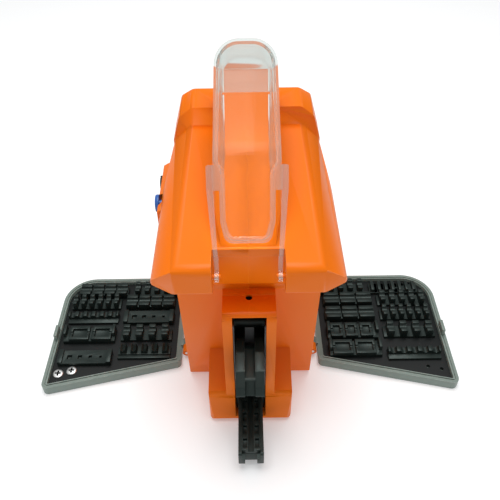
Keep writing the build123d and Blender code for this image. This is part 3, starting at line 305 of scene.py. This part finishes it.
def moulded(name, colour, roughness, worn):
    """Moulded plastic with a fine spark texture and slightly rubbed edges."""
    finish = Finish(name, colour, roughness)
    grains = finish.effect("grain", Grain_Scale=1500.0, Mottle_Scale=22.0)
    darker = [c * 0.86 for c in colour]
    finish.mottle(grains.outputs["Mottle"], darker, 0.35, roughness - 0.04, roughness + 0.05)
    rub = finish.effect("rub", Radius=0.0009, Amount=0.45)
    finish.mix(rub.outputs["Mask"], worn)
    finish.bump(grains.outputs["Height"], 0.35, 0.06 * MM)
    return finish


def oxide_steel(name, colour, roughness):
    """Black-oxide steel: dark, oily, with paler rubbed edges."""
    finish = Finish(name, colour, roughness, 0.55)
    grains = finish.effect("grain", Grain_Scale=1800.0, Mottle_Scale=90.0)
    finish.mottle(grains.outputs["Mottle"], (0.030, 0.044, 0.040), 0.5, roughness - 0.07,
                  roughness + 0.10)
    rub = finish.effect("rub", Radius=0.0005, Amount=0.55, Break_Scale=500.0)
    finish.mix(rub.outputs["Mask"], (0.15, 0.18, 0.17))
    finish.bump(grains.outputs["Height"], 0.25, 0.04 * MM)
    return finish


def bright_steel(name, colour, roughness, lines=900.0):
    """Bare or plated metal with fine lines; lines is their scale."""
    finish = Finish(name, colour, roughness, 1.0)
    grains = finish.effect("grain", Grain_Scale=1200.0, Mottle_Scale=70.0)
    darker = [c * 0.75 for c in colour]
    finish.mottle(grains.outputs["Mottle"], darker, 0.4, roughness - 0.05, roughness + 0.08)
    brush = finish.effect("brush", Scale=lines)
    finish.bump(brush.outputs["Height"], 0.3, 0.03 * MM)
    return finish


def clear_plastic(name, tone, roughness, transmission):
    """Clear polycarbonate: slightly cool, with a polished skin and faint flow ripples."""
    finish = Finish(name, tone, roughness)
    finish.set(Transmission_Weight=transmission, IOR=1.22, Coat_Weight=1.0, Coat_Roughness=0.05,
               Coat_IOR=1.45)
    grains = finish.effect("grain", Grain_Scale=60.0, Mottle_Scale=30.0)
    finish.bump(grains.outputs["Height"], 0.05, 0.2 * MM)
    return finish


def make_materials():
    """One finish for each of the record's material slots, and three that are used besides them."""
    tones = colours()
    made = {
        "orange_plastic": moulded("orange_housing", tones.orange, 0.36, (0.98, 0.30, 0.02)).set(
            Specular_IOR_Level=0.20),
        "rubber": moulded("foot_rubber", (0.02, 0.02, 0.02), 0.8, (0.05, 0.05, 0.05)),
        "zinc_steel": bright_steel("zinc_plated_steel", (0.76, 0.77, 0.76), 0.40),
        "frame_steel": bright_steel("ground_frame_steel", (0.36, 0.37, 0.38), 0.34),
        "black_steel": oxide_steel("black_oxide_steel", tones.die_black, 0.40),
        "cast_aluminium": bright_steel("cast_gearbox_aluminium", (0.52, 0.53, 0.54), 0.48, 300.0),
        "motor_can": oxide_steel("painted_motor_can", (0.04, 0.04, 0.045), 0.45),
        "board_green": moulded("circuit_board", (0.012, 0.10, 0.035), 0.35, (0.10, 0.25, 0.12)),
        "component_black": moulded("component_cases", (0.02, 0.02, 0.022), 0.4, (0.1, 0.1, 0.1)),
        "supply_case": bright_steel("supply_sheet", (0.62, 0.63, 0.64), 0.32),
        "black_plastic": moulded("black_plate_plastic", tones.tray_black, 0.50, (0.05, 0.06, 0.055)).set(
            Specular_IOR_Level=0.3),
        "red_plastic": moulded("rocker_red", (0.52, 0.015, 0.012), 0.25, (0.7, 0.1, 0.08)),
        "blue_plastic": moulded("button_blue", tones.button_blue, 0.25, (0.12, 0.2, 0.6)),
        "clear_guard": clear_plastic("clear_polycarbonate", tones.clear, 0.05, 1.0),
        # Paler, less clear copy of the guard's plastic for its walls, rim and far end: a painted
        # reflection.
        "painted_wall_reflection": clear_plastic("clear_polycarbonate_painted_reflection", tones.painted_wall_reflection, 0.12, 0.80),
        # Paler, less clear copy of the guard's plastic for its bevelled edges: a painted highlight.
        "painted_edge_highlight": clear_plastic("clear_polycarbonate_painted_edge_highlight", tones.painted_edge_highlight, 0.22, 0.50),
        # Near-black finish for the screws' cross recesses and the nose screw: painted shade.
        "painted_shade_bore": moulded("painted_shade_bore", (0.006, 0.005, 0.005), 0.9, (0.01, 0.01, 0.01)).set(
            Specular_IOR_Level=0.1),
        "grey_plastic": moulded("door_grey_plastic", tones.door_grey, 0.42, (0.5, 0.54, 0.51)),
    }
    return {slot: finish.material for slot, finish in made.items()}


MATERIALS = {}


def material_for(slot):
    """The slot's material; all are made at the first call."""
    if not MATERIALS:
        MATERIALS.update(make_materials())
    return MATERIALS[slot]


# ---- mesh helpers -------------------------------------------------------------------------------
def finish_piece(bm, name, body, slot, replaced=()):
    """Makes the piece's object, gives it its finish and lets it ride on its body."""
    mesh = bpy.data.meshes.new(name)
    bm.to_mesh(mesh)
    bm.free()
    for polygon in mesh.polygons:
        polygon.use_smooth = True
    mesh.set_sharp_from_angle(angle=math.radians(SMOOTH_ANGLE))
    piece = bpy.data.objects.new(name, mesh)
    bpy.context.scene.collection.objects.link(piece)
    mesh.materials.append(material_for(slot))
    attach(piece, body)
    if replaced:
        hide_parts(*replaced)
    return piece


def copied(node):
    """The CAD node's shape as a clean closed mesh with flat regions joined."""
    bm = bmesh.new()
    bm.from_mesh(frame["nodes"][node].data)
    bmesh.ops.remove_doubles(bm, verts=bm.verts, dist=MERGE)
    bmesh.ops.dissolve_limit(bm, angle_limit=math.radians(1.0), verts=bm.verts, edges=bm.edges,
                             use_dissolve_boundaries=False, delimit={"NORMAL"})
    return bm


def ease_edges(bm, width):
    """Bevels the sharp edges and returns the new faces.

    The overlap clamp narrows the whole bevel to the mesh's tightest spot, so the width is only an
    upper limit: the die strips get most of it, the shells, the doors and the guard next to none.
    """
    least = math.radians(CREASE_ANGLE)
    sharp = [e for e in bm.edges if len(e.link_faces) == 2 and e.calc_face_angle(0.0) > least]
    kept = [e for e in sharp if e.calc_length() >= width * 2.2]
    if not kept:
        return []
    eased = bmesh.ops.bevel(bm, geom=kept, offset=width, offset_type="OFFSET", segments=2, profile=0.5,
                            affect="EDGES", clamp_overlap=True, material=-1)
    return eased["faces"]


def eased_node(node, width):
    """Stands for a CAD node: the same shape, its edges bevelled as far as the clamp allows."""
    bm = copied(node)
    ease_edges(bm, width)
    return finish_piece(bm, node + "_skin", body_of(node), slot_of(node), [node])


def revolved(profile, centre, axis, steps=48):
    """Closed shape of revolution: profile is pairs of radius and place along the axis."""
    bm = bmesh.new()
    direction = Vector(axis)
    side = direction.orthogonal().normalized()
    verts = [bm.verts.new(Vector(centre) + side * radius + direction * along) for radius, along in profile]
    edges = [bm.edges.new(pair) for pair in zip(verts, verts[1:])]
    bmesh.ops.spin(bm, geom=verts + edges, cent=centre, axis=direction, angle=math.tau, steps=steps,
                   use_merge=True, use_normal_flip=False, use_duplicate=False)
    bmesh.ops.remove_doubles(bm, verts=bm.verts, dist=1e-6)
    bmesh.ops.recalc_face_normals(bm, faces=bm.faces)
    return bm


def merged(meshes):
    """One bmesh from several."""
    total = bmesh.new()
    for bm in meshes:
        part = bpy.data.meshes.new("part")
        bm.to_mesh(part)
        bm.free()
        total.from_mesh(part)
        bpy.data.meshes.remove(part)
    return total


def turned_to(axis):
    """Turn from Z to the axis."""
    return Vector((0, 0, 1)).rotation_difference(Vector(axis)).to_matrix().to_4x4()


def cross_screw(centre, axis, radius, height, depth):
    """Pan head with a cross recess, its seat at centre and its top along axis."""
    bm = bmesh.new()
    arm, half = radius * CROSS_ARM, radius * CROSS_HALF
    corners = [(arm, half), (half, half), (half, arm)]
    cross = []
    for quarter in range(4):
        turn = Matrix.Rotation(math.radians(90 * quarter), 3, "Z")
        cross += [bm.verts.new(turn @ Vector((x, y, height))) for x, y in corners]
    top = [bm.edges.new((cross[i], cross[(i + 1) % 12])) for i in range(12)]
    floor = bmesh.ops.extrude_edge_only(bm, edges=top)["geom"]
    low = [v for v in floor if isinstance(v, bmesh.types.BMVert)]
    bmesh.ops.translate(bm, verts=low, vec=(0, 0, -depth))
    bmesh.ops.scale(bm, verts=low, vec=(CROSS_TAPER, CROSS_TAPER, 1.0))
    bmesh.ops.contextual_create(bm, geom=[e for e in floor if isinstance(e, bmesh.types.BMEdge)
                                          and all(v in low for v in e.verts)])
    recess = list(bm.faces)
    ring = bmesh.ops.create_circle(bm, cap_ends=False, segments=24, radius=radius * CROWN_RADIUS)["verts"]
    bmesh.ops.translate(bm, verts=ring, vec=(0, 0, height * CROWN_HEIGHT))
    rim = list({e for v in ring for e in v.link_edges})
    bmesh.ops.bridge_loops(bm, edges=top + rim)
    for grow, drop in CROWN_STEPS:
        step = bmesh.ops.extrude_edge_only(bm, edges=rim)["geom"]
        verts = [v for v in step if isinstance(v, bmesh.types.BMVert)]
        rim = [e for e in step if isinstance(e, bmesh.types.BMEdge)
               and all(v in verts for v in e.verts)]
        bmesh.ops.scale(bm, verts=verts, vec=(grow, grow, 1.0))
        bmesh.ops.translate(bm, verts=verts, vec=(0, 0, -height * drop))
    bmesh.ops.contextual_create(bm, geom=rim)
    # The recess faces take the second material, a near-black painted shade.
    for face in recess:
        face.material_index = 1
    bmesh.ops.recalc_face_normals(bm, faces=bm.faces)
    bmesh.ops.transform(bm, matrix=Matrix.Translation(centre) @ turned_to(axis), verts=bm.verts)
    return bm


def island_centres(mesh):
    """Centres in X and Y of the separate shapes in a mesh."""
    bm = bmesh.new()
    bm.from_mesh(mesh)
    bmesh.ops.remove_doubles(bm, verts=bm.verts, dist=MERGE)
    waiting = set(bm.verts)
    centres = []
    while waiting:
        group = []
        edge = [waiting.pop()]
        while edge:
            vert = edge.pop()
            group.append(vert.co.copy())
            fresh = [e.other_vert(vert) for e in vert.link_edges if e.other_vert(vert) in waiting]
            waiting.difference_update(fresh)
            edge.extend(fresh)
        xs, ys = [co.x for co in group], [co.y for co in group]
        centres.append(((min(xs) + max(xs)) / 2, (min(ys) + max(ys)) / 2))
    bm.free()
    return sorted(centres)


def guard_axes():
    """The guard's hinge, and its directions from rim to web and along its length, at rest."""
    for joint in frame["record"]["behaviour"]["joints"]:
        if joint["name"] == "guard_swing":
            hinge = Vector(joint["pos_m"])
    turn = math.radians(sizes().guard_angle)
    web = Vector((0.0, math.sin(turn), -math.cos(turn)))
    along = Vector((0.0, math.cos(turn), math.sin(turn)))
    return hinge, web, along


def dress_node(node):
    """Gives a CAD node the finish of its slot."""
    mesh = frame["nodes"][node].data
    mesh.materials.clear()
    mesh.materials.append(material_for(slot_of(node)))


# ---- operators ----------------------------------------------------------------------------------
class CRIMPER_OT_housing(bpy.types.Operator):
    """Both housing shells and the control pod"""
    bl_idname = "crimper.housing"
    bl_label = "Housing"

    def execute(self, context):
        for node in ("left_shell", "right_shell", "control_pod"):
            eased_node(node, sizes().housing_edge)
        return {"FINISHED"}


class CRIMPER_OT_doors(bpy.types.Operator):
    """Fold-down doors with their plates and the stored die strips"""
    bl_idname = "crimper.doors"
    bl_label = "Doors and dies"

    def execute(self, context):
        for side in ("left", "right"):
            eased_node(side + "_door", sizes().door_edge)
            eased_node(side + "_die_plate", sizes().door_edge * 0.5)
            for row in DIE_ROWS:
                eased_node(f"{side}_dies_row_{row}", sizes().steel_edge)
        return {"FINISHED"}


class CRIMPER_OT_screws(bpy.types.Operator):
    """Cross-recess screws of the left plate and of the rear panel, with recesses and the nose screw given
    a near-black painted shade
    """
    bl_idname = "crimper.screws"
    bl_label = "Screws"

    def execute(self, context):
        low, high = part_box("left_plate_screws")
        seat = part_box("left_die_plate")[1].z
        radius = sizes().screw_head
        places = [(low.x + radius, low.y + radius), (high.x - radius, high.y - radius)]
        heads = [cross_screw((x, y, seat), (0, 0, 1), radius, high.z - seat, 1.0 * MM) for x, y in places]
        shank = [(0, low.z - seat), (SHANK, low.z - seat), (SHANK, 0), (0, 0)]
        shanks = [revolved(shank, (x, y, seat), (0, 0, 1), 16) for x, y in places]
        piece = finish_piece(merged(heads + shanks), "plate_screw_heads", "left_door", "zinc_steel",
                             ["left_plate_screws"])
        # Second material: the near-black painted shade of the recesses.
        piece.data.materials.append(material_for("painted_shade_bore"))

        low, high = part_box("rear_panel")
        heads = [cross_screw((x, high.y - PANEL_HEAD_SUNK, z), (0, 1, 0), PANEL_HEAD, PANEL_HEAD_HIGH,
                             0.8 * MM)
                 for x in (low.x + PANEL_INSET, high.x - PANEL_INSET)
                 for z in (low.z + PANEL_INSET, high.z - PANEL_INSET)]
        piece = finish_piece(merged(heads), "panel_screw_heads", "housing", "zinc_steel")
        # Second material: the near-black painted shade of the recesses.
        piece.data.materials.append(material_for("painted_shade_bore"))
        # The nose screw is made near-black: painted shade of its hole.
        for slot in frame["nodes"]["nose_screw"].material_slots:
            slot.material = material_for("painted_shade_bore")
        return {"FINISHED"}


class CRIMPER_OT_guard(bpy.types.Operator):
    """Clear flip-up guard with a sloped end; walls, rim and far end are paler as a painted reflection,
    bevelled edges as a painted highlight
    """
    bl_idname = "crimper.guard"
    bl_label = "Guard"

    def execute(self, context):
        hinge, web, along = guard_axes()
        bm = copied("guard")
        far = max((v.co - hinge).dot(along) for v in bm.verts)
        for vert in bm.verts:
            depth = (vert.co - hinge).dot(web)
            reach = (vert.co - hinge).dot(along) - (far - DRAFT_REACH)
            if depth > 2 * MM and reach > 0:
                vert.co -= (along * sizes().guard_draft * min(depth / GUARD_DEPTH, 1.0)
                            * min(reach / DRAFT_BLEND, 1.0))
        # The far end past this cut is painted paler with the wall finish: a painted reflection.
        reflection_start = far - sizes().painted_reflection_reach
        bmesh.ops.bisect_plane(bm, geom=bm.verts[:] + bm.edges[:] + bm.faces[:],
                               plane_co=hinge + along * reflection_start, plane_no=along)
        # The bevelled edges take the paler edge finish: a painted highlight.
        for face in ease_edges(bm, sizes().guard_edge):
            face.material_index = 1
        # Rim, side walls and far end take the paler wall finish: a painted reflection.
        for face in bm.faces:
            facing = abs(face.normal.dot(web))
            place = face.calc_center_median() - hinge
            on_rim = facing > 0.8 and place.dot(web) < 0.4 * MM
            on_wall = place.dot(web) > 1.9 * MM and (facing < 0.6 or place.dot(along) > reflection_start)
            if on_rim or on_wall:
                face.material_index = 2
        piece = finish_piece(bm, "guard_skin", "guard", "clear_guard", ["guard"])
        # Adds the painted-highlight and painted-reflection finishes as the second and third materials.
        for slot in ("painted_edge_highlight", "painted_wall_reflection"):
            piece.data.materials.append(material_for(slot))
        piece.visible_shadow = False
        return {"FINISHED"}


class CRIMPER_OT_jaws(bpy.types.Operator):
    """Upper and lower jaws with their dies and rivets"""
    bl_idname = "crimper.jaws"
    bl_label = "Jaws"

    def execute(self, context):
        for node in ("upper_jaw_left_plate", "upper_jaw_right_plate", "upper_die", "upper_jaw_rivets",
                     "lower_jaw", "lower_die"):
            eased_node(node, sizes().steel_edge * 1.6)
        return {"FINISHED"}


class CRIMPER_OT_controls(bpy.types.Operator):
    """Crimp button, force dial, power switch and rear sockets"""
    bl_idname = "crimper.controls"
    bl_label = "Controls"

    def execute(self, context):
        low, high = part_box("crimp_button")
        centre = (0.0, (low.y + high.y) / 2, (low.z + high.z) / 2)
        radius = (high.z - low.z) / 2
        cap = [(0, low.x + 0.5 * MM), (radius * 0.55, low.x + 0.35 * MM), (radius * 0.80, low.x),
               (radius * 0.93, low.x + 0.2 * MM), (radius, low.x + 0.9 * MM), (radius, low.x + 2.8 * MM),
               (BUTTON_STEM, low.x + 2.8 * MM), (BUTTON_STEM, high.x), (0, high.x)]
        finish_piece(revolved(cap, centre, (1, 0, 0)), "crimp_button_cap", "crimp_button",
                     "blue_plastic", ["crimp_button"])
        for node in ("force_dial", "rear_panel", "power_inlet", "pedal_socket", "switch_frame",
                     "power_rocker"):
            eased_node(node, sizes().steel_edge)
        return {"FINISHED"}


class CRIMPER_OT_feet(bpy.types.Operator):
    """Rubber feet with a raised ring"""
    bl_idname = "crimper.feet"
    bl_label = "Feet"

    def execute(self, context):
        low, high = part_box("rubber_feet")
        places = island_centres(frame["nodes"]["rubber_feet"].data)
        profile = [(0, low.z + 0.6 * MM), (FOOT_RADIUS * 0.5, low.z + 0.6 * MM),
                   (FOOT_RADIUS * 0.6, low.z), (FOOT_RADIUS * 0.85, low.z),
                   (FOOT_RADIUS, low.z + 0.5 * MM), (FOOT_RADIUS, high.z), (0, high.z)]
        finish_piece(merged([revolved(profile, (x, y, 0), (0, 0, 1), 32) for x, y in places]),
                     "rubber_feet_rings", "housing", "rubber", ["rubber_feet"])
        return {"FINISHED"}


class CRIMPER_OT_rest(bpy.types.Operator):
    """Gives every CAD node its finish; the nodes that are not replaced later stay as they are"""
    bl_idname = "crimper.rest"
    bl_label = "Other pieces"

    def execute(self, context):
        for node in frame["nodes"]:
            dress_node(node)
        return {"FINISHED"}


class CRIMPER_OT_stage(bpy.types.Operator):
    """Floor, lights and camera"""
    bl_idname = "crimper.stage"
    bl_label = "Stage"

    def execute(self, context):
        scene = context.scene
        floor_finish = Finish("pale_floor", (0.90, 0.90, 0.90), 0.6)
        floor_finish.set(Emission_Color=(0.93, 0.97, 1.0, 1.0), Emission_Strength=0.22)
        bm = bmesh.new()
        bmesh.ops.create_grid(bm, x_segments=1, y_segments=1, size=FLOOR_HALF)
        mesh = bpy.data.meshes.new("floor")
        bm.to_mesh(mesh)
        bm.free()
        floor = bpy.data.objects.new("floor", mesh)
        mesh.materials.append(floor_finish.material)
        scene.collection.objects.link(floor)

        world = bpy.data.worlds.new("studio")
        world.use_nodes = True
        background = world.node_tree.nodes["Background"]
        background.inputs["Color"].default_value = (1.0, 1.0, 1.0, 1.0)
        background.inputs["Strength"].default_value = 0.36
        scene.world = world
        aim = Vector((0.0, 0.0, 0.1))
        lamps = [("overhead", Vector((0.0, 0.15, 1.5)), 1.1, 19.0),
                 ("front_fill", Vector((0.3, -1.4, 0.9)), 0.9, 1.0),
                 ("left_fill", Vector((-1.3, -0.2, 0.8)), 0.8, 1.0)]
        for name, place, width, power in lamps:
            lamp = bpy.data.lights.new(name, "AREA")
            lamp.size = width
            lamp.energy = power
            lamp_object = bpy.data.objects.new(name, lamp)
            scene.collection.objects.link(lamp_object)
            lamp_object.location = place
            lamp_object.rotation_euler = (aim - place).to_track_quat("-Z", "Y").to_euler()

        camera = bpy.data.cameras.new("camera")
        camera.lens = 43.2
        camera.sensor_width = 36.0
        camera.shift_x = 0.0034
        camera_object = bpy.data.objects.new("camera", camera)
        scene.collection.objects.link(camera_object)
        camera_object.location = (0.0, -sizes().camera_back, sizes().camera_height)
        tilt = Matrix.Rotation(math.radians(90.0 - CAMERA_TILT), 4, "X")
        roll = Matrix.Rotation(math.radians(CAMERA_ROLL), 4, "Z")
        camera_object.rotation_euler = (tilt @ roll).to_euler()
        scene.camera = camera_object
        scene.view_settings.view_transform = "Standard"
        return {"FINISHED"}


CLASSES = [CrimperColours, CrimperSizes, CRIMPER_OT_rest, CRIMPER_OT_housing, CRIMPER_OT_doors,
           CRIMPER_OT_screws, CRIMPER_OT_guard, CRIMPER_OT_jaws, CRIMPER_OT_controls, CRIMPER_OT_feet,
           CRIMPER_OT_stage]


class CRIMPER_PT_panel(bpy.types.Panel):
    """Lists the pieces in the sidebar"""
    bl_idname = "CRIMPER_PT_panel"
    bl_label = "Terminal crimper"
    bl_space_type = "VIEW_3D"
    bl_region_type = "UI"
    bl_category = "Crimper"

    def draw(self, context):
        for operator in CLASSES:
            if issubclass(operator, bpy.types.Operator):
                self.layout.operator(operator.bl_idname)


def register():
    for item in CLASSES + [CRIMPER_PT_panel]:
        bpy.utils.register_class(item)
    bpy.types.Scene.crimper_colours = PointerProperty(type=CrimperColours)
    bpy.types.Scene.crimper_sizes = PointerProperty(type=CrimperSizes)


def unregister():
    del bpy.types.Scene.crimper_sizes
    del bpy.types.Scene.crimper_colours
    for item in reversed(CLASSES + [CRIMPER_PT_panel]):
        bpy.utils.unregister_class(item)


def main():
    register()
    bpy.ops.crimper.rest()
    bpy.ops.crimper.housing()
    bpy.ops.crimper.doors()
    bpy.ops.crimper.screws()
    bpy.ops.crimper.guard()
    bpy.ops.crimper.jaws()
    bpy.ops.crimper.controls()
    bpy.ops.crimper.feet()
    bpy.ops.crimper.stage()


if __name__ == "__main__":
    main()
